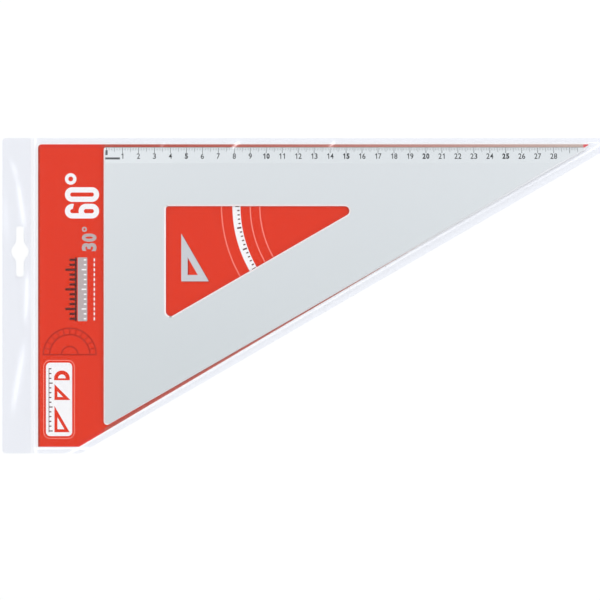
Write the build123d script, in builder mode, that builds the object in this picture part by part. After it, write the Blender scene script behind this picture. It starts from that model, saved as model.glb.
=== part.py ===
from build123d import *

import os
from math import atan2, cos, degrees, radians, sin, tan

# A drafting set square of anodised aluminium, with angles of 90, 60 and 30 degrees and a
# millimetre scale on its long leg. It lies on a printed card, in the clear film sleeve that it
# is sold in. Everything is in millimetres. The origin is the square's right angle, on the
# underside of the sleeve. +X runs along the scale, -Y along the short leg, +Z faces the reader.

# Set square
tip_angle = 30.0
long_leg = 304.0
plate_thickness = 2.0
right_angle_radius = 1.5
foot_radius = 2.2
tip_radius = 1.0
rim_chamfer = 0.9

# Window, and the strips of plate left round it
top_strip = 36.9
side_strip = 38.9
slanted_strip = 39.0
window_square_radius = 1.8
window_point_radius = 3.0

# Bevelled edge and its graduations
bevel_width = 10.0
bevel_drop = 1.0
bevel_chamfer = 0.3
scale_zero = 1.8
tick_pitch = 1.0
tick_width = 0.2
number_tick_width = 0.3
tick_depth = 0.1
tick_length = 2.0
half_tick_length = 2.9
number_tick_length = 3.8

# Backing card: how far it shows past the square's sides, and where its slanted side ends
card_thickness = 0.4
card_show_left = 42.2
card_show_top = 2.6
card_show_tip = 2.5
card_drop = 188.2
card_slant_end = 15.5
card_radius = 2.2
card_point_radius = 0.8

# Film sleeve
film_thickness = 0.2
sleeve_left = 63.8
sleeve_show_top = 5.9
sleeve_show_slant = 6.8
sleeve_drop = 191.9
sleeve_radius = 2.5
sleeve_tip_radius = 3.0
sleeve_bend_radius = 8.0
weld_width = 2.6
mouth = 44.0
tab_gap = 2.0
pouch_slope_run = 2.2
pouch_tip_radius = 3.2
pouch_bend_radius = 10.0

# Euro slot in the hanging tab
slot_from_left = 11.1
slot_from_top = 71.2
slot_length = 31.6
slot_width = 4.8
slot_end_radius = 1.6
slot_eye_diameter = 10.8
slot_neck_radius = 5.0

# Running gaps between the layers in the sleeve
card_gap = 0.1
plate_gap = 0.1
roof_gap = 0.3

# Heights of the layers above the underside
tab_top = 2 * film_thickness
card_bottom = tab_top + card_gap
plate_bottom = card_bottom + card_thickness + plate_gap
plate_top = plate_bottom + plate_thickness
roof_bottom = plate_top + roof_gap

short_leg = long_leg * tan(radians(tip_angle))


def slant_x(y, outside):
    """X at height y on the line that runs parallel to the slanted side, so far outside it."""
    return long_leg + (outside + y * cos(radians(tip_angle))) / sin(radians(tip_angle))


def slant_y(x, outside):
    """Y at x on the same line."""
    return ((x - long_leg) * sin(radians(tip_angle)) - outside) / cos(radians(tip_angle))


def pouch_profile(left, top, outside, drop, tip_radius, bend_radius):
    """A right triangle with its foot cut off level, which is the shape of the sleeve."""
    with BuildSketch() as profile:
        with BuildLine():
            Polyline(
                (left, top),
                (left, -drop),
                (slant_x(-drop, outside), -drop),
                (slant_x(top, outside), top),
                close=True,
            )
        make_face()
        fillet(profile.vertices().sort_by(Axis.X)[-1], tip_radius)
        fillet(profile.vertices().group_by(Axis.Y)[0].sort_by(Axis.X)[-1], bend_radius)
    return profile.sketch


os.makedirs("parts", exist_ok=True)

# Both films have this outline, with the euro slot through the hanging tab

slot_middle = Vector(slot_from_left - sleeve_left, sleeve_show_top - slot_from_top)

with BuildSketch() as euro_slot:
    with Locations(slot_middle):
        Rectangle(slot_width, slot_length)
        fillet(euro_slot.vertices(), slot_end_radius)
        Circle(slot_eye_diameter / 2)
    necks = euro_slot.vertices().filter_by(
        lambda vertex: abs(vertex.Y - slot_middle.Y) < slot_eye_diameter / 2
    )
    fillet(necks, slot_neck_radius)

with BuildSketch() as sleeve_outline:
    add(
        pouch_profile(
            -sleeve_left,
            sleeve_show_top,
            sleeve_show_slant,
            sleeve_drop,
            sleeve_tip_radius,
            sleeve_bend_radius,
        )
    )
    fillet(sleeve_outline.vertices().group_by(Axis.X)[0], sleeve_radius)
    add(euro_slot.sketch, mode=Mode.SUBTRACT)

# Back sheet of the sleeve

with BuildPart() as sleeve_back_film:
    add(sleeve_outline.sketch)
    extrude(amount=film_thickness)

sleeve_back_film.part.label = "sleeve_back_film"
export_step(sleeve_back_film.part, "parts/sleeve_back_film.step")

# Second ply of the hanging tab, welded on the back sheet

with BuildPart() as hang_tab_film:
    with BuildSketch(Plane.XY.offset(film_thickness)):
        add(sleeve_outline.sketch)
        split(bisect_by=Plane.YZ.offset(-mouth - tab_gap), keep=Keep.BOTTOM)
    extrude(amount=film_thickness)

hang_tab_film.part.label = "hang_tab_film"
export_step(hang_tab_film.part, "parts/hang_tab_film.step")

# Front sheet. From the weld it slopes up to a flat roof over the square, and it is open at the
# mouth, next to the tab. The space under it is the pouch.

pouch_top = sleeve_show_top - weld_width
pouch_slant = sleeve_show_slant - weld_width
pouch_drop = sleeve_drop - weld_width
pouch_height = roof_bottom - film_thickness
pouch_lean = degrees(atan2(pouch_slope_run, pouch_height))
film_spread = film_thickness / cos(radians(pouch_lean))

with BuildPart() as sleeve_front_film:
    with BuildSketch(Plane.XY.offset(film_thickness)) as flange:
        add(sleeve_outline.sketch)
    extrude(amount=film_thickness)
    for spread, height, mode in (
        (film_spread, pouch_height + film_thickness, Mode.ADD),
        (0, pouch_height, Mode.SUBTRACT),
    ):
        with BuildSketch(Plane.XY.offset(film_thickness)):
            add(
                pouch_profile(
                    -sleeve_left,
                    pouch_top + spread,
                    pouch_slant + spread,
                    pouch_drop + spread,
                    pouch_tip_radius + spread,
                    pouch_bend_radius + spread,
                )
            )
        extrude(amount=height, taper=pouch_lean, mode=mode)
    split(bisect_by=Plane.YZ.offset(-mouth), keep=Keep.TOP)

sleeve_front_film.part.label = "sleeve_front_film"
export_step(sleeve_front_film.part, "parts/sleeve_front_film.step")

# Backing card

with BuildPart() as backing_card:
    with BuildSketch(Plane.XY.offset(card_bottom)) as card_outline:
        with BuildLine():
            Polyline(
                (-card_show_left, card_show_top),
                (long_leg + card_show_tip, card_show_top),
                (-card_slant_end, -card_drop),
                (-card_show_left, -card_drop),
                close=True,
            )
        make_face()
        fillet(card_outline.vertices().sort_by(Axis.X)[-1], card_point_radius)
        fillet(card_outline.vertices().group_by(Axis.Y)[0], card_point_radius)
        fillet(card_outline.vertices().group_by(Axis.X)[0].sort_by(Axis.Y)[-1], card_radius)
    extrude(amount=card_thickness)

backing_card.part.label = "backing_card"
export_step(backing_card.part, "parts/backing_card.step")

# Set square

with BuildSketch(Plane.XY.offset(plate_bottom)) as plate_outline:
    with BuildLine():
        Polyline((0, 0), (long_leg, 0), (0, -short_leg), close=True)
    make_face()
    fillet(plate_outline.vertices().sort_by(Axis.X)[-1], tip_radius)
    fillet(plate_outline.vertices().sort_by(Axis.Y)[0], foot_radius)
    fillet(plate_outline.vertices().group_by(Axis.X)[0].sort_by(Axis.Y)[-1], right_angle_radius)

# The bevel slopes down to the long edge. This blank has its plane run on over the whole plate,
# and the square is what this blank and the flat plate have in common.
edge_height = plate_thickness - bevel_drop
bevel_slope = atan2(bevel_drop, bevel_width)
bevel_plane = Plane(
    origin=(scale_zero, 0, plate_bottom + edge_height),
    x_dir=(1, 0, 0),
    z_dir=(0, sin(bevel_slope), cos(bevel_slope)),
)

with BuildPart() as bevel_blank:
    add(plate_outline.sketch)
    extrude(amount=edge_height + short_leg)
    split(bisect_by=bevel_plane, keep=Keep.BOTTOM)
    chamfer(bevel_blank.faces().filter_by(bevel_plane).edges(), bevel_chamfer)

with BuildPart() as set_square:
    add(plate_outline.sketch)
    extrude(amount=plate_thickness)
    chamfer(set_square.faces().sort_by(Axis.Z)[-1].edges(), rim_chamfer)
    add(bevel_blank.part, mode=Mode.INTERSECT)

    # The window
    with BuildSketch(Plane.XY.offset(plate_bottom)) as window_outline:
        with BuildLine():
            Polyline(
                (side_strip, -top_strip),
                (slant_x(-top_strip, -slanted_strip), -top_strip),
                (side_strip, slant_y(side_strip, -slanted_strip)),
                close=True,
            )
        make_face()
        fillet(window_outline.vertices().sort_by(Axis.X)[-1], window_point_radius)
        fillet(window_outline.vertices().sort_by(Axis.Y)[0], window_point_radius)
        square_corner = window_outline.vertices().group_by(Axis.X)[0].sort_by(Axis.Y)[-1]
        fillet(square_corner, window_square_radius)
    extrude(amount=plate_thickness, mode=Mode.SUBTRACT)
    flat_top = set_square.faces().filter_by(Axis.Z).sort_by(Axis.Z)[-1]
    chamfer(flat_top.inner_wires()[0].edges(), rim_chamfer)

    # The graduations, cut in the bevel: the last is the last 5 mm mark that the tip has room for
    scale_room = long_leg - scale_zero - half_tick_length / tan(radians(tip_angle))
    last_tick = 5 * int(scale_room / (5 * tick_pitch))
    with BuildSketch(bevel_plane) as graduations:
        for length, width, ticks in (
            (tick_length, tick_width, [i for i in range(last_tick) if i % 5]),
            (half_tick_length, tick_width, range(5, last_tick + 1, 10)),
            (number_tick_length, number_tick_width, range(0, last_tick + 1, 10)),
        ):
            with Locations([(i * tick_pitch, 0) for i in ticks]):
                Rectangle(width, length, align=(Align.CENTER, Align.MAX))
    extrude(amount=-tick_depth, mode=Mode.SUBTRACT)

set_square.part.label = "set_square"
export_step(set_square.part, "parts/set_square.step")
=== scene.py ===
from math import atan2, cos, degrees, pi, radians, sin, sqrt, tan

import bmesh
import bpy
import numpy as np
from mathutils import Matrix, Vector


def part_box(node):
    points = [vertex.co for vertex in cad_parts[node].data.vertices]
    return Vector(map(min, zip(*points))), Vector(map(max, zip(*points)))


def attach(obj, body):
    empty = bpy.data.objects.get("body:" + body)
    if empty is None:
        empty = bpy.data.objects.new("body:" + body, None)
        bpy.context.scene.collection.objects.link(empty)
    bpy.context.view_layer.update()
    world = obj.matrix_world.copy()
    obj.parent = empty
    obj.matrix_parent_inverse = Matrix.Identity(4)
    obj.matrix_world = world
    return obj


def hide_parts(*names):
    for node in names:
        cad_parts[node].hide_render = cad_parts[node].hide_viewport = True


# The looks of a 60/30 degree aluminium set square on its printed card, in a clear film sleeve.
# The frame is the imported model's: the origin is the square's right angle, +X runs along the
# scale, -Y along the short leg and +Z faces the reader. Everything is in metres.

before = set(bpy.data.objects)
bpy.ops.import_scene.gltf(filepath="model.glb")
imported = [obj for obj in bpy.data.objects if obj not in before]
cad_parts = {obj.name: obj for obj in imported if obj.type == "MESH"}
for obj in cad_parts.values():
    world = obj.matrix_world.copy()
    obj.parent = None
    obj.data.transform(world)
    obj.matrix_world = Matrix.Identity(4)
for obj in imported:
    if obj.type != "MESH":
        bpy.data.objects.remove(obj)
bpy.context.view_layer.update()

mm = 0.001
up = Vector((0, 0, 1))
unmoved = Matrix.Identity(4)
merge_distance = 1e-7

# Set square, the strips of plate along its window, and its scale
tip_angle = radians(30)
long_leg = 304 * mm
window_strip = 36.9 * mm
slanted_strip = 39 * mm
bevel_width = 10 * mm
bevel_drop = 1 * mm
scale_zero = 1.8 * mm
last_tick = 295
last_number = 28
tick_start = 0.25 * mm
tick_depth = 0.1 * mm
tick_lengths = {1: 2.0 * mm, 5: 2.9 * mm, 10: 3.8 * mm}
ink_widths = {1: 0.13 * mm, 5: 0.2 * mm, 10: 0.3 * mm}
ink_below_face = 0.01 * mm
number_height = 3.5 * mm
number_foot = 7.4 * mm

# Plain figures: their width and their pitch, in heights
figure_width = 0.56
figure_pitch = 0.66

# Ink: shapes that may overlap take so many levels in turn, a step apart
ink_thickness = 0.012 * mm
overlap_step = 0.0008 * mm
overlap_levels = 8

# Card: the corners of its outline, counter-clockwise from the top left
card_low, card_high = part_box("backing_card")
card_top = card_high.z
card_show_tip = 2.5 * mm
card_slant_end = -15.5 * mm
card_corners = [
    Vector((card_low.x, card_high.y)),
    Vector((card_low.x, card_low.y)),
    Vector((card_slant_end, card_low.y)),
    Vector((long_leg + card_show_tip, card_high.y)),
]

# Its print: the radius of each corner, the white margin along each side, and the width of the
# line of painted shade inside that margin. A side starts at the corner that has its place in the
# list.
print_radii = [3.2 * mm, 0.8 * mm, 0.8 * mm, 0.8 * mm]
least_print_radius = 0.3 * mm
white_margins = [0.9 * mm, 0.45 * mm, 0.35 * mm, 0.7 * mm]
painted_shade_line_widths = [1.2 * mm, 0.5 * mm, 2.0 * mm, 2.2 * mm]

# Sleeve: the corners of its outline, in the same order, and its film
sleeve_low, sleeve_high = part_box("sleeve_back_film")
tab_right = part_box("hang_tab_film")[1].x
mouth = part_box("sleeve_front_film")[0].x
sleeve_slant = 6.8 * mm
weld_width = 2.7 * mm
film_thickness = 0.1 * mm
film_gap = 0.01 * mm

# How far the front film lies over the card, the bevelled edge and the flat of the square
card_clearance = 0.15 * mm
bevel_clearance = 0.12 * mm
plate_clearance = 0.08 * mm


def slant_x(y, outside):
    """X at height y on the line that runs parallel to the slanted side, so far outside it."""
    return long_leg + (outside + y * cos(tip_angle)) / sin(tip_angle)


sleeve_corners = [
    Vector((sleeve_low.x, sleeve_high.y)),
    Vector((sleeve_low.x, sleeve_low.y)),
    Vector((slant_x(sleeve_low.y, sleeve_slant), sleeve_low.y)),
    Vector((slant_x(sleeve_high.y, sleeve_slant), sleeve_high.y)),
]
sleeve_radii = [2.5 * mm, 2.5 * mm, 8 * mm, 3 * mm]
least_film_radius = 0.4 * mm
sleeve_middle = Vector((70 * mm, -70 * mm))

# Euro slot in the tab
slot_middle = Vector((-52.7 * mm, -65.3 * mm))
slot_length = 31.6 * mm
slot_width = 4.8 * mm
slot_end_radius = 1.6 * mm
slot_eye_radius = 5.4 * mm
slot_neck_radius = 5 * mm


# Outlines

def point_mm(x, y):
    """A point given in millimetres."""
    return Vector((x * mm, y * mm))


def meet(point_a, along_a, point_b, along_b):
    """Where two straight lines cross."""
    share = (point_b - point_a).cross(along_b) / along_a.cross(along_b)
    return point_a + along_a * share


def inset_corners(corners, insets):
    """Corners of an outline after each side has moved in. Side i starts at corner i."""
    sides = []
    for start, end, inset in zip(corners, corners[1:] + corners[:1], insets):
        along = (end - start).normalized()
        inward = Vector((-along.y, along.x))
        sides.append((start + inward * inset, along))
    return [meet(*sides[i - 1], *sides[i]) for i in range(len(corners))]


def rounded_outline(corners, radii, side_counts=None, arc_steps=8):
    """Points of a counter-clockwise outline with rounded corners, and so many along each side."""
    count = len(corners)
    side_counts = side_counts or [1] * count
    bends = []
    for i, (corner, radius) in enumerate(zip(corners, radii)):
        before = (corners[i - 1] - corner).normalized()
        after = (corners[(i + 1) % count] - corner).normalized()
        half_angle = before.angle(after) / 2
        middle = corner + (before + after).normalized() * radius / sin(half_angle)
        spoke = corner + before * radius / tan(half_angle) - middle
        turn = (pi - 2 * half_angle) / arc_steps
        bends.append([middle + Matrix.Rotation(turn * k, 2) @ spoke for k in range(arc_steps + 1)])
    points = []
    for i, bend in enumerate(bends):
        points += bend
        start, end = bend[-1], bends[(i + 1) % count][0]
        points += [start.lerp(end, k / side_counts[i]) for k in range(1, side_counts[i])]
    return points


def rounded_box(low, high, radius):
    """The outline of an upright rectangle with rounded corners."""
    corners = [Vector((low.x, high.y)), low, Vector((high.x, low.y)), high]
    return rounded_outline(corners, [radius] * 4)


def arc(middle, radius, start, end, steps=48):
    """Points of a circular arc between two angles in degrees, ends included."""
    angles = [radians(start + (end - start) * k / (steps - 1)) for k in range(steps)]
    return [middle + Vector((cos(a), sin(a))) * radius for a in angles]


def circle(middle, radius, steps=64):
    """Points of a full circle."""
    return arc(middle, radius, 0, 360 * (1 - 1 / steps), steps)


def arc_band(middle, inner, outer, start, end, steps=48):
    """The outline of the band between two radii."""
    return arc(middle, outer, start, end, steps) + arc(middle, inner, end, start, steps)


def bar(start, end, width):
    """The outline of a straight bar from one point to another."""
    along = (end - start).normalized()
    across = Vector((-along.y, along.x)) * width / 2
    return [start - across, end - across, end + across, start + across]


def bar_mm(start, end, width):
    """The same bar, given in millimetres."""
    return bar(point_mm(*start), point_mm(*end), width * mm)


def spokes(middle, inner, outer, angles, width):
    """Shapes of bars that point away from a middle, one at each angle in degrees."""
    directions = [Vector((cos(radians(a)), sin(radians(a)))) for a in angles]
    return [[bar(middle + d * inner, middle + d * outer, width)] for d in directions]


def square_shape(corner, tall, strip, foot_angle):
    """A small set square and its window, with its right angle at the corner."""
    wide = tall / tan(radians(foot_angle))
    plate = [Vector((0, 0)), Vector((wide, 0)), Vector((0, tall))]
    window = inset_corners(plate, [strip] * 3)
    return [[corner + point for point in outline] for outline in (plate, window)]


# Pieces

def mesh_of_curve(curve):
    """Turns a curve into a mesh, and removes the curve."""
    holder = bpy.data.objects.new("holder", curve)
    mesh = bpy.data.meshes.new_from_object(holder)
    bpy.data.objects.remove(holder)
    bpy.data.curves.remove(curve)
    return mesh


def add_mesh(bm, mesh, matrix):
    """Places a mesh, adds it to bm and removes it."""
    mesh.transform(matrix)
    bm.from_mesh(mesh)
    bpy.data.meshes.remove(mesh)


def add_flat(bm, outlines, bottom, thickness, matrix=unmoved):
    """Adds a thin flat solid to bm. The first outline is its edge and the others are holes."""
    curve = bpy.data.curves.new("outline", "CURVE")
    curve.dimensions = "2D"
    curve.fill_mode = "BOTH"
    curve.extrude = thickness / 2
    for outline in outlines:
        spline = curve.splines.new("POLY")
        spline.points.add(len(outline) - 1)
        for point, place in zip(spline.points, outline):
            point.co = (place[0], place[1], 0, 1)
        spline.use_cyclic_u = True
    middle = Matrix.Translation(up * (bottom + thickness / 2))
    add_mesh(bm, mesh_of_curve(curve), matrix @ middle)


def one_outline(stroke):
    """The figure 1 as an outline of height 1: a stem with a flag, and strokes of this width."""
    stem_shift, flag_reach, flag_tip, flag_root = 0.08, 0.20, 0.80, 0.86
    stem = stem_shift - stroke / 2
    flag = stem - flag_reach
    return [(stem, 0), (stem + stroke, 0), (stem + stroke, 1), (stem + 0.3 * stroke, 1),
            (flag, flag_tip), (flag, flag_tip - 0.9 * stroke), (stem, flag_root - 0.7 * stroke)]


def add_figure(bm, figure, height, weight, matrix):
    """Adds a plain figure that stands centred on the origin, before the matrix places it."""
    if figure == "1":
        thin_stroke, stroke_by_weight = 0.13, 1.4
        stroke = thin_stroke + stroke_by_weight * weight
        outline = [Vector(point) * height for point in one_outline(stroke)]
        add_flat(bm, [outline], 0, ink_thickness, matrix)
        return
    half_depth = 0.5
    curve = bpy.data.curves.new("figure", "FONT")
    curve.body = figure
    curve.offset = weight
    curve.resolution_u = 6
    curve.extrude = half_depth
    mesh = mesh_of_curve(curve)
    places = np.array([vert.co for vert in mesh.vertices])
    low, high = places.min(0), places.max(0)
    centred = Matrix.Translation((-(low[0] + high[0]) / 2, -low[1], half_depth))
    size = Matrix.Diagonal((figure_width * height / (high[0] - low[0]),
                            height / (high[1] - low[1]), ink_thickness, 1))
    add_mesh(bm, mesh, matrix @ size @ centred)


def add_number(bm, number, height, weight, matrix):
    """Adds a number in plain figures of one width, centred on the origin."""
    figures = str(number)
    for i, figure in enumerate(figures):
        place = Matrix.Translation(((i - (len(figures) - 1) / 2) * figure_pitch * height, 0, 0))
        add_figure(bm, figure, height, weight, matrix @ place)


def clean(bm):
    """Merges points that fall together, and turns all faces outwards."""
    bmesh.ops.remove_doubles(bm, verts=bm.verts[:], dist=merge_distance)
    bmesh.ops.recalc_face_normals(bm, faces=bm.faces[:])


def object_of(name, bm):
    """Makes an object of a bmesh and puts it in the scene."""
    mesh = bpy.data.meshes.new(name)
    bm.to_mesh(mesh)
    bm.free()
    made = bpy.data.objects.new(name, mesh)
    bpy.context.scene.collection.objects.link(made)
    return made


def piece_of(name, bm, body, material, smooth=False):
    """Makes a piece of a bmesh, which rides on a body and takes a material."""
    clean(bm)
    if smooth:
        sharp_angle = radians(40)
        for face in bm.faces:
            face.smooth = True
        for edge in bm.edges:
            edge.smooth = edge.is_manifold and edge.calc_face_angle() < sharp_angle
    piece = object_of(name, bm)
    piece.data.materials.append(material)
    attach(piece, body)
    return piece


def dress_node(node, material):
    """Gives a CAD node its material."""
    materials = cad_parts[node].data.materials
    materials.clear()
    materials.append(material)


# Materials

def put(tree, socket, value):
    """Links a socket to a value that is a socket, or sets it."""
    if isinstance(value, bpy.types.NodeSocket):
        tree.links.new(value, socket)
    else:
        socket.default_value = value


def add_node(tree, kind, inputs=None, **settings):
    """Adds a shader node with its inputs and settings."""
    made = tree.nodes.new(kind)
    for name, value in settings.items():
        setattr(made, name, value)
    for name, value in (inputs or {}).items():
        put(tree, made.inputs[name], value)
    return made


def new_material(name):
    """A material with an empty node tree, and its output node."""
    material = bpy.data.materials.new(name)
    material.use_nodes = True
    tree = material.node_tree
    tree.nodes.clear()
    return material, tree, tree.nodes.new("ShaderNodeOutputMaterial")


def object_point(tree, stretch=(1, 1, 1)):
    """Object coordinates, scaled by axis."""
    place = add_node(tree, "ShaderNodeTexCoord").outputs["Object"]
    mapped = add_node(tree, "ShaderNodeMapping", {"Vector": place, "Scale": stretch})
    return mapped.outputs["Vector"]


def facing(tree, direction):
    """How much the surface faces a direction, from the object's own normal."""
    made = add_node(tree, "ShaderNodeVectorMath", operation="DOT_PRODUCT")
    put(tree, made.inputs[0], add_node(tree, "ShaderNodeTexCoord").outputs["Normal"])
    put(tree, made.inputs[1], direction)
    return made.outputs["Value"]


def noise(tree, point, scale, detail=3, roughness=0.5):
    """Noise from 0 to 1 at a point, with so many cells to the metre."""
    inputs = {"Vector": point, "Scale": scale, "Detail": detail, "Roughness": roughness}
    return add_node(tree, "ShaderNodeTexNoise", inputs).outputs["Fac"]


def ranged(tree, value, low, high, start=0.0, end=1.0):
    """A value that runs from start to end, mapped to low to high."""
    inputs = {"Value": value, "From Min": start, "From Max": end, "To Min": low, "To Max": high}
    return add_node(tree, "ShaderNodeMapRange", inputs).outputs["Result"]


def mixed(tree, share, colour_a, colour_b):
    """Two colours mixed by a share. The node has its colours at inputs 6 and 7 and output 2."""
    made = add_node(tree, "ShaderNodeMix", data_type="RGBA")
    share_socket, a_socket, b_socket = (made.inputs[i] for i in (0, 6, 7))
    put(tree, share_socket, share)
    for socket, colour in ((a_socket, colour_a), (b_socket, colour_b)):
        put(tree, socket, colour if isinstance(colour, bpy.types.NodeSocket) else (*colour, 1))
    return made.outputs[2]


def bump(tree, height, distance, normal=None):
    """A normal that follows a height."""
    inputs = {"Height": height, "Distance": distance, "Strength": 1.0}
    if normal:
        inputs["Normal"] = normal
    return add_node(tree, "ShaderNodeBump", inputs).outputs["Normal"]


def calculated(tree, operation, a, b):
    """The result of a calculation with two values."""
    made = add_node(tree, "ShaderNodeMath", operation=operation)
    put(tree, made.inputs[0], a)
    put(tree, made.inputs[1], b)
    return made.outputs[0]


def anodised_aluminium():
    """Satin anodised plate: an even grain, a face colour painted lighter up the plate as painted
    light, bevelled rims brightened by the cut metal and a painted highlight, and walls darkened as
    painted shade.
    """
    material, tree, output = new_material("anodised_aluminium")
    point = object_point(tree)
    grain = noise(tree, point, 5200, detail=2)
    rolling = noise(tree, object_point(tree, (1, 40, 40)), 90, detail=4, roughness=0.65)
    cloud = noise(tree, point, 14, detail=2)
    place = add_node(tree, "ShaderNodeSeparateXYZ", {"Vector": point}).outputs
    # Painted light: the face colour grows lighter up the plate, towards the light, from the foot
    # tone to the head tone.
    shaded_foot_tone, lit_head_tone = (0.745, 0.783, 0.777), (0.842, 0.868, 0.866)
    cloud_tone, rolled_tone = (0.83, 0.86, 0.855), (0.77, 0.79, 0.785)
    painted_light_up_the_plate = ranged(tree, place["Y"], 0, 1, -170 * mm, -10 * mm)
    face_colour = mixed(tree, painted_light_up_the_plate, shaded_foot_tone, lit_head_tone)
    face_colour = mixed(tree, ranged(tree, cloud, 0, 0.25), face_colour, cloud_tone)
    face_colour = mixed(tree, ranged(tree, rolling, 0, 0.30), face_colour, rolled_tone)

    # The rims are cut at 45 degrees. Their near-white is the bright cut metal with a painted
    # highlight.
    # The one on the slanted side is darker with painted shade, less so towards the tip, and the one
    # on the bevel is thin and grey with painted shade. The walls are painted dark, so the card at
    # their foot is shaded.
    upward = facing(tree, up)
    cut_edge = ranged(tree, upward, 1, 0, start=0.80, end=0.90)
    wall = ranged(tree, upward, 1, 0, start=0.2, end=0.5)
    slanted = ranged(tree, facing(tree, (sin(tip_angle), -cos(tip_angle), 0)), 0, 1, 0.64, 0.69)
    on_bevel = ranged(tree, facing(tree, (0, 1, 0)), 0, 1, 0.66, 0.71)
    # Painted light: the rims' highlight, the painted shade of the bevel and slanted rims, and the
    # darkened walls.
    rim_metal_and_highlight, bevel_rim_shade, wall_darkened_for_shade = (1.0, 0.96, 0.94), (0.38, 0.39, 0.38), (0.42, 0.42, 0.43)
    shaded_slanted_rim, shaded_slanted_rim_at_tip = (0.70, 0.71, 0.71), (0.86, 0.87, 0.87)
    near_tip = ranged(tree, place["X"], 0, 1, 210 * mm, 290 * mm)
    slanted_colour = mixed(tree, near_tip, shaded_slanted_rim, shaded_slanted_rim_at_tip)
    edge_colour = mixed(tree, slanted, rim_metal_and_highlight, slanted_colour)
    edge_colour = mixed(tree, on_bevel, edge_colour, bevel_rim_shade)
    edge_colour = mixed(tree, wall, edge_colour, wall_darkened_for_shade)

    # The rims are slightly rounded, so they mirror more of the sky than their faces would
    normal = bump(tree, grain, 0.006 * mm)
    normal = bump(tree, rolling, 0.004 * mm, normal)
    lean = add_node(tree, "ShaderNodeVectorMath", operation="MULTIPLY_ADD")
    put(tree, lean.inputs[0], (0, 0, 0.3))
    put(tree, lean.inputs[1], cut_edge)
    put(tree, lean.inputs[2], normal)
    shader = add_node(tree, "ShaderNodeBsdfPrincipled", {
        "Base Color": mixed(tree, cut_edge, face_colour, edge_colour),
        "Metallic": ranged(tree, cut_edge, 1.0, 0.25),
        "Roughness": calculated(tree, "ADD", ranged(tree, rolling, 0.36, 0.44),
                                ranged(tree, cut_edge, 0, 0.22)),
        "Normal": lean.outputs["Vector"]})
    tree.links.new(shader.outputs[0], output.inputs["Surface"])
    return material


def mottled(tree, colour):
    """An even colour with a faint mottle."""
    mottle = noise(tree, object_point(tree), 900, detail=3)
    darker = tuple(channel * 0.93 for channel in colour)
    return mixed(tree, ranged(tree, mottle, 0, 1, 0.3, 0.7), darker, colour)


def keyline_colour(tree):
    """The colour of the line of painted shade round the card: dark on the left, paler and greyer
    along X with a painted sheen of the film, red at the tip.
    """
    left_side, on_panel = (0.43, 0.033, 0.010), (0.72, 0.026, 0.010)
    shade_by_square, shade_and_sheen_by_tip, tip = (0.50, 0.085, 0.060), (0.575, 0.445, 0.39), (0.74, 0.09, 0.10)
    place = add_node(tree, "ShaderNodeTexCoord").outputs["Object"]
    x = add_node(tree, "ShaderNodeSeparateXYZ", {"Vector": place}).outputs["X"]
    along = calculated(tree, "POWER", ranged(tree, x, 0, 1, 0, 300 * mm), 1.6)
    colour = mixed(tree, along, shade_by_square, shade_and_sheen_by_tip)
    colour = mixed(tree, ranged(tree, x, 0, 1, -3 * mm, 2 * mm), on_panel, colour)
    colour = mixed(tree, ranged(tree, x, 0, 1, 300 * mm, 301 * mm), colour, tip)
    return mixed(tree, ranged(tree, x, 0, 1, -40.1 * mm, -40.0 * mm), left_side, colour)


def ink(name, colour, roughness=0.5):
    """Printing ink with a slightly uneven face. Its colour is plain, or made by a function."""
    material, tree, output = new_material(name)
    fibre = noise(tree, object_point(tree, (1, 2.2, 1)), 2600, detail=4, roughness=0.7)
    shader = add_node(tree, "ShaderNodeBsdfPrincipled", {
        "Base Color": colour(tree) if callable(colour) else mottled(tree, colour),
        "Roughness": ranged(tree, fibre, roughness - 0.06, roughness + 0.06),
        "Specular IOR Level": 0.2,
        "Normal": bump(tree, fibre, 0.008 * mm)})
    tree.links.new(shader.outputs[0], output.inputs["Surface"])
    return material


def card_board():
    """The bare board: coated white in front, and greyish with short fibres elsewhere."""
    material, tree, output = new_material("card_board")
    fibre = noise(tree, object_point(tree, (1, 3, 1)), 1100, detail=5, roughness=0.7)
    fleck = noise(tree, object_point(tree, (2.5, 1, 1)), 1600, detail=2)
    front = ranged(tree, facing(tree, up), 0, 1, 0.2, 0.8)
    dark_board, pale_board = (0.60, 0.585, 0.55), (0.72, 0.705, 0.67)
    fleck_tone, coated_tone = (0.40, 0.38, 0.35), (0.90, 0.885, 0.87)
    back = mixed(tree, ranged(tree, fibre, 0, 1, 0.35, 0.65), dark_board, pale_board)
    back = mixed(tree, ranged(tree, fleck, 0, 0.5, 0.62, 0.75), back, fleck_tone)
    shader = add_node(tree, "ShaderNodeBsdfPrincipled", {
        "Base Color": mixed(tree, front, back, coated_tone),
        "Roughness": 0.7,
        "Normal": bump(tree, fibre, 0.02 * mm)})
    tree.links.new(shader.outputs[0], output.inputs["Surface"])
    return material


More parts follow.
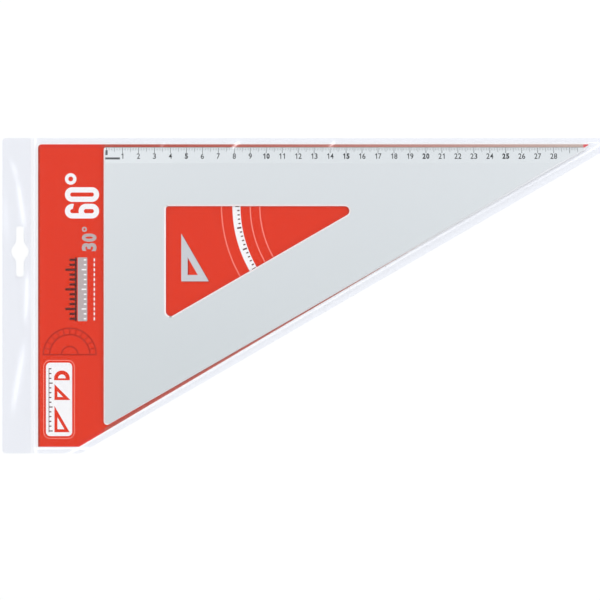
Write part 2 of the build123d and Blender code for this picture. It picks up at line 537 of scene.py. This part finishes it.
def clear_film():
    """Clear film: see-through, with a gloss that grows at a slant, and an added white that is a
    painted highlight where it is bent and creased, and a faint milkiness on its welds.
    """
    material, tree, output = new_material("clear_film")
    least_gloss, gloss_edge_on, highlight_whiteness = 0.010, 0.7, 0.10
    slant = add_node(tree, "ShaderNodeLayerWeight", {"Blend": 0.5}).outputs["Facing"]
    edge_on = calculated(tree, "POWER", slant, 5.0)
    gloss = calculated(tree, "MULTIPLY", edge_on, gloss_edge_on)
    gloss = calculated(tree, "ADD", gloss, least_gloss)
    milk_and_highlight = add_node(tree, "ShaderNodeAttribute", attribute_name="milk_and_highlight").outputs["Fac"]
    ripple = noise(tree, object_point(tree), 120, detail=3)
    clear = add_node(tree, "ShaderNodeBsdfTransparent", {"Color": (0.981, 0.983, 0.990, 1)})
    surface = add_node(tree, "ShaderNodeBsdfPrincipled", {
        "Base Color": (0.94, 0.96, 1.0, 1), "Metallic": 0.7, "Roughness": 0.07,
        "Normal": bump(tree, ripple, 0.02 * mm)})
    # The added white is a painted highlight on the folds, the lip and the creases, and a faint
    # milkiness on the welds.
    white = add_node(tree, "ShaderNodeBsdfDiffuse",
                     {"Color": calculated(tree, "MULTIPLY", milk_and_highlight, highlight_whiteness)})
    glossy = add_node(tree, "ShaderNodeMixShader", {"Fac": gloss})
    highlight_added = add_node(tree, "ShaderNodeAddShader")
    tree.links.new(clear.outputs[0], glossy.inputs[1])
    tree.links.new(surface.outputs[0], glossy.inputs[2])
    tree.links.new(glossy.outputs[0], highlight_added.inputs[0])
    tree.links.new(white.outputs[0], highlight_added.inputs[1])
    tree.links.new(highlight_added.outputs[0], output.inputs["Surface"])
    return material


film = clear_film()
scale_ink = ink("scale_ink", (0.030, 0.033, 0.036), roughness=0.45)
scale_bar_ink = ink("scale_bar_ink", (0.12, 0.125, 0.13), roughness=0.45)
painted_shade_line_ink = ink("painted_shade_line_ink", keyline_colour, roughness=0.42)
red_ink = ink("red_ink", (0.79, 0.029, 0.001), roughness=0.42)
shade_red_ink = ink("shade_red_ink", (0.46, 0.013, 0.001), roughness=0.42)
pale_red_ink = ink("pale_red_ink", (0.95, 0.26, 0.20))
white_ink = ink("white_ink", (0.98, 0.975, 0.965))
grey_ink = ink("grey_ink", (0.52, 0.45, 0.44))
silver_ink = ink("silver_ink", (0.62, 0.64, 0.66))
dark_ink = ink("dark_ink", (0.10, 0.010, 0.006))


# The set square: its own solid, with inked marks and numbers

def bevel_matrix():
    """Places a thing drawn flat, with its Y up the plate, on the bevelled face."""
    edge_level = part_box("set_square")[1].z - bevel_drop
    slope = Matrix.Rotation(-atan2(bevel_drop, bevel_width), 4, "X")
    return Matrix.Translation((scale_zero, 0, edge_level)) @ slope


def make_marks(on_bevel):
    """Ink in the cut marks. It fills the longer ones, and is a thin line in the others."""
    marks = bmesh.new()
    depth = tick_depth - ink_below_face
    for tick in range(last_tick + 1):
        step = max(size for size in tick_lengths if tick % size == 0)
        length = tick_lengths[step] - tick_start
        middle = Vector((tick * mm, -tick_start - length / 2, -ink_below_face - depth / 2))
        size = Matrix.Diagonal((ink_widths[step], length, depth, 1))
        bmesh.ops.create_cube(marks, size=1, matrix=on_bevel @ Matrix.Translation(middle) @ size)
    piece_of("scale_marks", marks, "square", scale_ink)


def make_numbers(on_bevel):
    """The centimetre numbers, bolder at each fifth, and two plain bars at the zero end."""
    bold, light = 0.045, 0.012
    numbers = bmesh.new()
    for number in range(1, last_number + 1):
        weight = bold if number % 5 == 0 else light
        place = Matrix.Translation((number * 10 * mm, -number_foot, 0))
        add_number(numbers, number, number_height, weight, on_bevel @ place)
    piece_of("scale_numbers", numbers, "square", scale_ink)

    lying = bar_mm((-0.75, -7.1), (8.4, -7.1), 1.3)
    standing = bar_mm((0.0, -5.0), (0.0, -1.9), 1.4)
    bars = bmesh.new()
    for outline in (lying, standing):
        add_flat(bars, [outline], 0, ink_thickness, on_bevel)
    piece_of("scale_zero_bars", bars, "square", scale_bar_ink)


dress_node("set_square", anodised_aluminium())
make_marks(bevel_matrix())
make_numbers(bevel_matrix())


# The card: its own solid, with a plain print on its front. Each layer lies on the one before.

def add_shapes(bm, shapes, bottom, matrix=unmoved):
    """Adds flat shapes, each an edge and its holes. Neighbours in the list may overlap."""
    for i, outlines in enumerate(shapes):
        level = i % overlap_levels * overlap_step
        add_flat(bm, outlines, bottom + level, ink_thickness, matrix)


def printed(name, shapes, layer, material):
    """Flat print on the card, in a layer above the ones before."""
    bm = bmesh.new()
    add_shapes(bm, shapes, card_top + layer * ink_thickness)
    piece_of(name, bm, "card", material)


def printed_panel(insets):
    """The outline of the printed area, so far inside each side of the card."""
    corners = inset_corners(card_corners, insets)
    radii = [max(radius - max(insets), least_print_radius) for radius in print_radii]
    return rounded_outline(corners, radii)


def bold_shapes(figure, width, height, stroke):
    """A bold 6 or 0 out of rounded loops, with its foot centred on the origin."""
    roundness, six_loop, hook_start = 0.49, 0.6, -12
    left, right, radius = -width / 2, width / 2, roundness * width
    loop_height = height if figure == "0" else six_loop * height
    low, high, inset = Vector((left, 0)), Vector((right, loop_height)), Vector((stroke, stroke))
    shapes = [[rounded_box(low, high, radius),
               rounded_box(low + inset, high - inset, radius - stroke)]]
    if figure == "6":
        middle = Vector((0, height - right))
        stem = left + stroke / 2
        shapes.append([arc_band(middle, right - stroke, right, hook_start, 180)])
        shapes.append([bar(Vector((stem, radius)), Vector((stem, middle.y)), stroke)])
    return shapes


def add_ring(bm, foot, start, height, radius):
    """Adds the degree ring that stands at the head of a number which reads upwards."""
    hole_share = 0.42
    middle = Vector((foot - height + radius, start + radius))
    outlines = [circle(middle, radius), circle(middle, hole_share * radius)]
    add_flat(bm, outlines, card_top + ink_thickness, ink_thickness)


def print_angles():
    """The two angles in plain figures that read upwards: a large 60 and a small 30."""
    reading = Matrix.Rotation(radians(90), 4, "Z")
    bottom = card_top + ink_thickness

    foot, start, height, width, stroke = -3.0 * mm, -40.0 * mm, 21.4 * mm, 9.2 * mm, 3.3 * mm
    pitch, ring_reach, ring_radius = 10.4 * mm, 16.6 * mm, 3.6 * mm
    large = bmesh.new()
    for i, figure in enumerate("60"):
        place = Matrix.Translation((foot, start + i * pitch, bottom))
        add_shapes(large, bold_shapes(figure, width, height, stroke), 0, place @ reading)
    add_ring(large, foot, start + ring_reach, height, ring_radius)
    piece_of("print_angle_large", large, "card", white_ink)

    foot, start, height, weight = -4.6 * mm, -62.5 * mm, 9.2 * mm, 0.05
    pitch, ring_reach, ring_radius = 5.9 * mm, 9.5 * mm, 1.6 * mm
    small = bmesh.new()
    for i, figure in enumerate("30"):
        place = Matrix.Translation((foot, start + i * pitch, bottom))
        add_figure(small, figure, height, weight, place @ reading)
    add_ring(small, foot, start + ring_reach, height, ring_radius)
    piece_of("print_angle_small", small, "card", grey_ink)


def print_ground():
    """The red panel inside a white margin, with a line of painted shade round it."""
    insets = [margin + width for margin, width in zip(white_margins, painted_shade_line_widths)]
    line, panel = printed_panel(white_margins), printed_panel(insets)
    printed("card_print", [[panel]], 0, red_ink)
    printed("card_painted_shade_line", [[line, panel]], 0, painted_shade_line_ink)


def print_ruler_strip():
    """A strip like a ruler's edge: a dark comb of marks, a grey band with white marks, dashes."""
    start, end, count = -109.0, -69.0, 13
    comb_right, spine_width, long_tooth, short_tooth, tooth_width = -17.6, 1.3, 6.6, 4.0, 1.5
    band_left, band_right, band_radius, band_margin = -16.4, -10.4, 0.6, 0.6
    long_mark, short_mark, mark_width = 3.6, 2.2, 0.9
    dash_x, dash_share, dash_width = -6.0, 0.3, 0.8
    band = rounded_box(point_mm(band_left, start), point_mm(band_right, end), band_radius * mm)
    dark = [[bar_mm((comb_right, start), (comb_right, end), spine_width)]]
    white = []
    pitch = (end - start) / count
    for i in range(count):
        y = start + (i + 0.5) * pitch
        long_one = i % 4 == 2
        left = comb_right - (long_tooth if long_one else short_tooth)
        dark.append([bar_mm((left, y), (comb_right, y), tooth_width)])
        left = band_right - (long_mark if long_one else short_mark)
        white.append([bar_mm((left, y), (band_right - band_margin, y), mark_width)])
        dash_low, dash_high = y - dash_share * pitch, y + dash_share * pitch
        white.append([bar_mm((dash_x, dash_low), (dash_x, dash_high), dash_width)])
    printed("print_comb", dark, 1, dark_ink)
    printed("print_band", [[band]], 1, grey_ink)
    printed("print_band_marks", white, 2, white_ink)


def print_relief():
    """A protractor in darker red."""
    middle = point_mm(-21.4, -130.0)
    rim, inner_rim, hub = 17 * mm, 13 * mm, 5.6 * mm
    line, spoke_width = 0.8 * mm, 0.6 * mm
    shapes = [[arc_band(middle, radius - line, radius, 0, 180)] for radius in (rim, inner_rim, hub)]
    shapes += spokes(middle, inner_rim, rim - line, range(15, 180, 15), spoke_width)
    base = Vector((rim, 0))
    shapes.append([bar(middle - base, middle + base, line)])
    printed("print_relief", shapes, 1, shade_red_ink)


def print_label():
    """A white label that names nothing: a dark row of marks, then drawing tools in red."""
    low, high, radius = point_mm(-36.3, -181.0), point_mm(-19.9, -135.0), 2.6 * mm
    away, line = 1.7 * mm, 0.5 * mm
    outer, inner = Vector((away, away)), Vector((away - line, away - line))
    outline = [rounded_box(low - outer, high + outer, radius + away),
               rounded_box(low - inner, high + inner, radius + away - line)]
    printed("label_outline", [outline], 1, pale_red_ink)
    printed("label", [[rounded_box(low, high, radius)]], 1, white_ink)

    left, foot, strip = -31.0, -178.6, 1.9 * mm
    arch, inside, outside = point_mm(-26.3, -144.8), 2.4 * mm, 4.9 * mm
    base_drop, base_width = 0.6 * mm, 1.2 * mm
    base_left, base_right = Vector((-outside, -base_drop)), Vector((outside, -base_drop))
    tools = [
        square_shape(point_mm(left, foot), 16.5 * mm, strip, 60),
        square_shape(point_mm(left, -158.4), 10.0 * mm, strip, 45),
        [arc_band(arch, inside, outside, 0, 180)],
        [bar(arch + base_left, arch + base_right, base_width)],
    ]
    printed("label_tools", tools, 2, red_ink)

    spine_x, head, spine_width = -34.4, -138.5, 0.4
    mark_left, first, pitch, long_mark, short_mark, mark_width = -34.3, -177.8, 3.0, 2.2, 1.4, 0.7
    marks = [[bar_mm((spine_x, foot), (spine_x, head), spine_width)]]
    for i in range(14):
        y = first + i * pitch
        length = short_mark if i % 5 else long_mark
        marks.append([bar_mm((mark_left, y), (mark_left + length, y), mark_width)])
    printed("label_marks", marks, 2, dark_ink)


def print_angle():
    """In the window: its 30 degree angle, marked by thin arcs and by a white band with marks."""
    corner = Vector((slant_x(-window_strip, -slanted_strip), -window_strip))
    start, end = 174, 216
    inner, outer = 76.5 * mm, 81.5 * mm
    printed("angle_band", [[arc_band(corner, inner, outer, start, end)]], 1, white_ink)

    foot, short_end, long_end = inner + 0.6 * mm, inner + 2.0 * mm, inner + 3.2 * mm
    thin, thick = 0.8 * mm, 1.0 * mm
    marks = spokes(corner, foot, short_end, range(176, end, 2), thin)
    marks += spokes(corner, foot, long_end, range(180, end, 10), thick)
    printed("angle_marks", marks, 2, dark_ink)

    line, radii = 0.7 * mm, (64 * mm, 70 * mm, 88 * mm)
    arcs = [[arc_band(corner, radius, radius + line, start, end)] for radius in radii]
    printed("angle_arcs", arcs, 1, pale_red_ink)


def print_small_square():
    """A small grey set square in the window's corner, with a darker red shadow."""
    corner, shift = point_mm(48.5, -84.0), point_mm(0.8, -0.6)
    tall, strip, foot_angle = 30 * mm, 4 * mm, 60
    shadow = square_shape(corner + shift, tall, strip, foot_angle)
    printed("small_square_shadow", [shadow], 1, shade_red_ink)
    printed("small_square", [square_shape(corner, tall, strip, foot_angle)], 2, silver_ink)


dress_node("backing_card", card_board())
print_ground()
print_angles()
print_ruler_strip()
print_relief()
print_label()
print_angle()
print_small_square()


# The sleeve's films

def film_rings(rows, spacing, inner_rings):
    """A surface of rings: each follows the sleeve's outline further in, by rows of four insets,
    and the last ones shrink to the middle."""
    ends = sleeve_corners[1:] + sleeve_corners[:1]
    counts = [round((end - start).length / spacing) for start, end in zip(sleeve_corners, ends)]
    rings = []
    for insets in rows:
        corners = inset_corners(sleeve_corners, insets)
        radii = [max(radius - min(insets), least_film_radius) for radius in sleeve_radii]
        rings.append(rounded_outline(corners, radii, counts, arc_steps=6))
    last = rings[-1]
    for k in range(1, inner_rings):
        rings.append([point.lerp(sleeve_middle, k / inner_rings) for point in last])
    bm = bmesh.new()
    verts = [[bm.verts.new((p.x, p.y, 0)) for p in ring] for ring in rings]
    middle = bm.verts.new((sleeve_middle.x, sleeve_middle.y, 0))
    for i in range(len(last)):
        j = (i + 1) % len(last)
        for outer, inner in zip(verts, verts[1:]):
            bm.faces.new((outer[i], outer[j], inner[j], inner[i]))
        bm.faces.new((verts[-1][i], verts[-1][j], middle))
    return bm


def split_at(bm, x, clear_left=False, clear_right=False):
    """Splits a surface along a line of constant x, and clears a side of it where that is asked."""
    everything = bm.verts[:] + bm.edges[:] + bm.faces[:]
    bmesh.ops.bisect_plane(bm, geom=everything, plane_co=(x, 0, 0), plane_no=(1, 0, 0),
                           clear_inner=clear_left, clear_outer=clear_right)


def make_film(name, node, bm, height, milk_and_highlight):
    """Lifts a surface to its height, notes its added white, the painted highlight and weld
    milkiness, and closes it into a film.
    """
    x = np.array([v.co.x for v in bm.verts])
    y = np.array([v.co.y for v in bm.verts])
    layer = bm.verts.layers.float.new("milk_and_highlight")
    for vert, z, share in zip(bm.verts, height(x, y), milk_and_highlight(x, y)):
        vert.co.z = z
        vert[layer] = share
    made = bmesh.ops.extrude_face_region(bm, geom=bm.faces[:], use_keep_orig=True)
    moved = [item for item in made["geom"] if isinstance(item, bmesh.types.BMVert)]
    bmesh.ops.translate(bm, verts=moved, vec=up * film_thickness)
    piece = piece_of(name, bm, "sleeve", film, smooth=True)
    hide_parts(node)
    return piece


def side_distances(x, y):
    """How far a point lies inside the sleeve's bottom, slanted and top edges."""
    outside = (x - long_leg) * sin(tip_angle) - y * cos(tip_angle)
    return y - sleeve_low.y, sleeve_slant - outside, sleeve_high.y - y


def soft_path(distance, path, softness):
    """Height along a path of (distance, height) points, with its corners rounded off."""
    distances, heights = zip(*path)
    steps = np.linspace(-softness, softness, 5)
    return sum(np.interp(distance + step, distances, heights) for step in steps) / len(steps)


def ridge(x, y, start, end, width):
    """A soft ridge between two points in millimetres: 1 on its line, and fading at its ends."""
    fade_share = 0.25
    start, end = point_mm(*start), point_mm(*end)
    length = (end - start).length
    along = (end - start) / length
    reach = ((x - start.x) * along.x + (y - start.y) * along.y) / length
    aside = (x - start.x) * along.y - (y - start.y) * along.x
    fade = np.clip(reach / fade_share, 0, 1) * np.clip((1 - reach) / fade_share, 0, 1)
    return fade * np.exp(-(aside / (width * mm)) ** 2)


# The soft creases of the tab and of the front film, in millimetres: two ends, height, half width
tab_creases = [
    ((-58.2, -8.0), (-54.0, -20.0), 0.14, 1.1),
    ((-54.5, -19.0), (-49.4, -53.0), 0.17, 1.2),
    ((-47.9, -76.0), (-49.2, -112.0), 0.17, 1.1),
    ((-49.4, -120.0), (-58.2, -170.0), 0.16, 1.3),
    ((-62.0, -30.0), (-61.0, -60.0), 0.08, 0.9),
]
front_creases = [
    ((85.4, 4.2), (80.0, -1.4), 0.05, 0.8),
    ((38.2, 4.0), (35.6, -0.6), 0.02, 0.6),
    ((144.6, 4.0), (141.4, -0.8), 0.04, 0.7),
]


def strongest(x, y, creases, scale, spread=1):
    """The strongest of some creases at each point: its height scaled, and its width spread."""
    found = 0 * x
    for start, end, height, width in creases:
        found = np.maximum(found, ridge(x, y, start, end, width * spread) * (height * scale))
    return found


def tab_wave(x, y):
    """Height of the tab's creases."""
    return strongest(x, y, tab_creases, scale=mm)


def tab_whitening(x, y):
    """How much painted highlight the tab's film takes along its creases."""
    return strongest(x, y, tab_creases, scale=1.6, spread=1.35)


# How the front film rises from each edge: distance from the edge, then height of its underside.
# At the tip the slanted edge follows a path of its own.
flange = film_thickness + film_gap
plate_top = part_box("set_square")[1].z
roof = plate_top + plate_clearance
over_bevel_edge = plate_top - bevel_drop + bevel_clearance
over_card = card_top + card_clearance
fold_softness = 0.22 * mm
bottom_path = [(0, flange), (weld_width, flange), (3.4 * mm, over_card), (15.6 * mm, roof)]
slanted_path = [(0, flange), (weld_width, flange), (3.3 * mm, over_card), (6.4 * mm, roof)]
tip_path = [(0, flange), (4.6 * mm, flange), (6.3 * mm, 2.5 * mm), (7.0 * mm, roof)]
top_path = [(0, flange), (2.6 * mm, flange), (3.1 * mm, over_card), (5.5 * mm, over_bevel_edge),
            (16.2 * mm, roof)]

# Where the front film is creased along the slanted side: X, how far inside the sleeve's edge, and
# how much painted highlight it takes there
fold_places = [0, 90 * mm, 200 * mm, 260 * mm, 300 * mm]
fold_distances = [3.4 * mm, 4.5 * mm, 5.3 * mm, 5.1 * mm, 4.6 * mm]
fold_highlight = [1.2, 1.1, 0.9, 0.6, 0.8]


def front_height(x, y):
    """Height of the front film's underside. Towards the tip it folds nearer to the square."""
    bottom, slanted, top = side_distances(x, y)
    near_tip = np.clip(x / long_leg, 0, 1)
    over_slant = soft_path(slanted, slanted_path, fold_softness) * (1 - near_tip)
    over_slant += soft_path(slanted, tip_path, fold_softness) * near_tip
    height = np.minimum.reduce([
        soft_path(bottom, bottom_path, fold_softness), over_slant,
        soft_path(top, top_path, fold_softness)])
    # The film isn't quite flat: two waves cross on it, given in radians to the metre
    swell_height = 0.05 * mm
    swell = swell_height * (1 + np.sin(71 * x + 23 * y) * np.sin(96 * y - 31 * x + 1))
    swell = swell + strongest(x, y, front_creases, scale=mm)
    return height + swell * np.clip((height - flange) / (roof - flange), 0, 1)


def front_whitening(x, y):
    """The front film's added white: painted highlights along its folds, its lip and its creases,
    and a faint milkiness on its welds.
    """
    bottom, slanted, top = side_distances(x, y)
    slanted_fold = np.interp(x, fold_places, fold_distances)
    slanted_share = np.interp(x, fold_places, fold_highlight)
    weld_share = 0.1
    white = strongest(x, y, front_creases, scale=50)
    on_weld = np.minimum.reduce([bottom, slanted, top]) < weld_width
    white = np.maximum(white, np.where(on_weld, weld_share, 0))
    # Painted highlights along the slanted, top and bottom folds and along the lip.
    for distance, place, width, share in (
        (slanted, slanted_fold, 0.65 * mm, slanted_share),
        (top, 2.9 * mm, 0.35 * mm, 0.8),
        (bottom, 3.1 * mm, 0.5 * mm, 1.6),
        (x - mouth, 1.2 * mm, 0.9 * mm, 0.7),
    ):
        white = np.maximum(white, share * np.exp(-((distance - place) / width) ** 2))
    return white


def front_rows():
    """Insets of the front film's rings in metres, close together where it folds."""
    slanted = [0, 0.5, 1.2, 2.0, 2.5, 2.8, 3.1, 3.4, 3.7, 4.0, 4.6, 5.3, 6.0, 6.4, 6.8, 7.6, 9, 12,
               15, 18]
    top = [0, 0.5, 1.2, 2.0, 2.4, 2.65, 2.9, 3.15, 3.4, 3.9, 4.6, 5.2, 5.6, 6.0, 7, 9, 12, 15,
           16.2, 18]
    bottom = [0, 0.5, 1.2, 2.0, 2.5, 2.8, 3.1, 3.4, 3.7, 4.2, 5.2, 6.5, 8, 9.5, 11, 12.5, 14,
              15.3, 16.5, 18]
    return [[b * mm, b * mm, s * mm, t * mm] for s, t, b in zip(slanted, top, bottom)]


def tab_rows():
    """Insets of the tab's rings, close together across its creases."""
    spacing, count = 0.75 * mm, 28
    return [[k * spacing] * 4 for k in range(count)]


def euro_slot_outline():
    """A long slot that runs into a round eye by four hollow necks."""
    half_width, half_length = slot_width / 2, slot_length / 2
    neck = half_width + slot_neck_radius
    rise = sqrt((slot_eye_radius + slot_neck_radius) ** 2 - neck ** 2)
    turn = degrees(atan2(rise, neck))
    end = Vector((half_width - slot_end_radius, half_length - slot_end_radius))
    quarter = arc(end, slot_end_radius, 90, 0, steps=8)
    quarter += arc(Vector((neck, rise)), slot_neck_radius, 180, 180 + turn, steps=12)
    quarter += arc(Vector((0, 0)), slot_eye_radius, turn, 0, steps=16)
    right = quarter + [Vector((p.x, -p.y)) for p in quarter[-2::-1]]
    outline = right + [Vector((-p.x, p.y)) for p in right[::-1]]
    return [slot_middle + point for point in outline]


def cut_euro_slot(piece):
    """Cuts the euro slot through a film."""
    bm = bmesh.new()
    below, height = -1 * mm, 5 * mm
    add_flat(bm, [euro_slot_outline()], below, height)
    clean(bm)
    cutter = object_of("cutter", bm)
    modifier = piece.modifiers.new("slot", "BOOLEAN")
    modifier.object = cutter
    modifier.solver = "EXACT"
    depsgraph = bpy.context.evaluated_depsgraph_get()
    cut = bpy.data.meshes.new_from_object(piece.evaluated_get(depsgraph))
    piece.modifiers.clear()
    piece.data = cut
    bpy.data.objects.remove(cutter)


def make_sleeve():
    """The three films: the back sheet, the tab's second ply and the front sheet."""
    spacing, inner_rings, tab_lift = 4 * mm, 10, 1.15
    back = film_rings(tab_rows(), spacing, inner_rings)
    cut_euro_slot(make_film("sleeve_back", "sleeve_back_film", back, tab_wave, tab_whitening))

    tab = film_rings(tab_rows(), spacing, inner_rings)
    split_at(tab, tab_right, clear_right=True)
    cut_euro_slot(make_film("hang_tab", "hang_tab_film", tab,
                            lambda x, y: flange + tab_wave(x, y) * tab_lift, tab_whitening))

    # The front film has some more rows of points along its lip, which takes a painted highlight
    spacing, inner_rings, lip_rows, lip_spacing = 1.6 * mm, 24, 5, 0.45 * mm
    front = film_rings(front_rows(), spacing, inner_rings)
    split_at(front, mouth, clear_left=True)
    for row in range(1, lip_rows + 1):
        split_at(front, mouth + row * lip_spacing)
    make_film("sleeve_front", "sleeve_front_film", front, front_height, front_whitening)


make_sleeve()


# Stage: floor, world, lamps and camera

def make_floor():
    """A white floor just under the sleeve, which keeps the object's shadow."""
    half, level, glow_strength = 3.0, -0.1 * mm, 0.145
    mesh = bpy.data.meshes.new("floor")
    corners = [(-half, -half, level), (half, -half, level), (half, half, level),
               (-half, half, level)]
    mesh.from_pydata(corners, [], [(0, 1, 2, 3)])
    floor = bpy.data.objects.new("floor", mesh)
    bpy.context.scene.collection.objects.link(floor)
    material, tree, output = new_material("floor")
    path = add_node(tree, "ShaderNodeLightPath").outputs
    seen = calculated(tree, "MAXIMUM", path["Is Camera Ray"], path["Is Glossy Ray"])
    seen = calculated(tree, "MAXIMUM", seen, path["Is Transmission Ray"])
    diffuse = add_node(tree, "ShaderNodeBsdfDiffuse", {"Color": (0.80, 0.80, 0.80, 1)})
    glow = add_node(tree, "ShaderNodeEmission",
                    {"Strength": calculated(tree, "MULTIPLY", seen, glow_strength)})
    both = add_node(tree, "ShaderNodeAddShader")
    tree.links.new(diffuse.outputs[0], both.inputs[0])
    tree.links.new(glow.outputs[0], both.inputs[1])
    tree.links.new(both.outputs[0], output.inputs["Surface"])
    mesh.materials.append(material)


def make_world():
    """A pale sky: white at the horizon and greyer overhead."""
    world = bpy.data.worlds.new("studio")
    bpy.context.scene.world = world
    world.use_nodes = True
    tree = world.node_tree
    tree.nodes.clear()
    direction = add_node(tree, "ShaderNodeTexCoord").outputs["Generated"]
    height = add_node(tree, "ShaderNodeSeparateXYZ", {"Vector": direction}).outputs["Z"]
    at_horizon, overhead = (1.0, 1.0, 1.0), (0.82, 0.835, 0.85)
    colour = mixed(tree, ranged(tree, height, 0, 1, 0.1, 1.0), at_horizon, overhead)
    background = add_node(tree, "ShaderNodeBackground", {"Color": colour, "Strength": 1.0})
    output = add_node(tree, "ShaderNodeOutputWorld")
    tree.links.new(background.outputs[0], output.inputs["Surface"])


def add_lamp(name, place, width, height, power):
    """A soft rectangular lamp aimed at the plate. Its width lies level."""
    light = bpy.data.lights.new(name, "AREA")
    light.shape = "RECTANGLE"
    light.size = width
    light.size_y = height
    light.energy = power
    lamp = bpy.data.objects.new(name, light)
    lamp.location = place
    target = Vector((0.12, -0.09, 0))
    lamp.rotation_euler = (Vector(place) - target).to_track_quat("Z", "Y").to_euler()
    lamp.visible_camera = False
    bpy.context.scene.collection.objects.link(lamp)


def make_camera():
    """Straight down on the pack, framed as the photograph is."""
    photo_side, pixels_per_metre = 600, 1594
    middle_x, middle_y = 122.95 * mm, -95.7 * mm
    camera = bpy.data.cameras.new("camera")
    camera.lens = 120
    camera.sensor_width = 36
    distance = photo_side / pixels_per_metre * camera.lens / camera.sensor_width
    holder = bpy.data.objects.new("camera", camera)
    holder.location = (middle_x, middle_y, distance)
    bpy.context.scene.collection.objects.link(holder)
    bpy.context.scene.camera = holder


make_floor()
make_world()
add_lamp("key_lamp", (2.45, 0.5, 2.25), width=1.3, height=0.9, power=25.0)
add_lamp("fill_lamp", (-1.1, 0.9, 2.1), width=1.2, height=1.0, power=5.2)
make_camera()
bpy.context.scene.view_settings.view_transform = "Standard"
# Light goes in and out through three closed films, which are more surfaces than the default allows
bpy.context.scene.cycles.transparent_max_bounces = 32
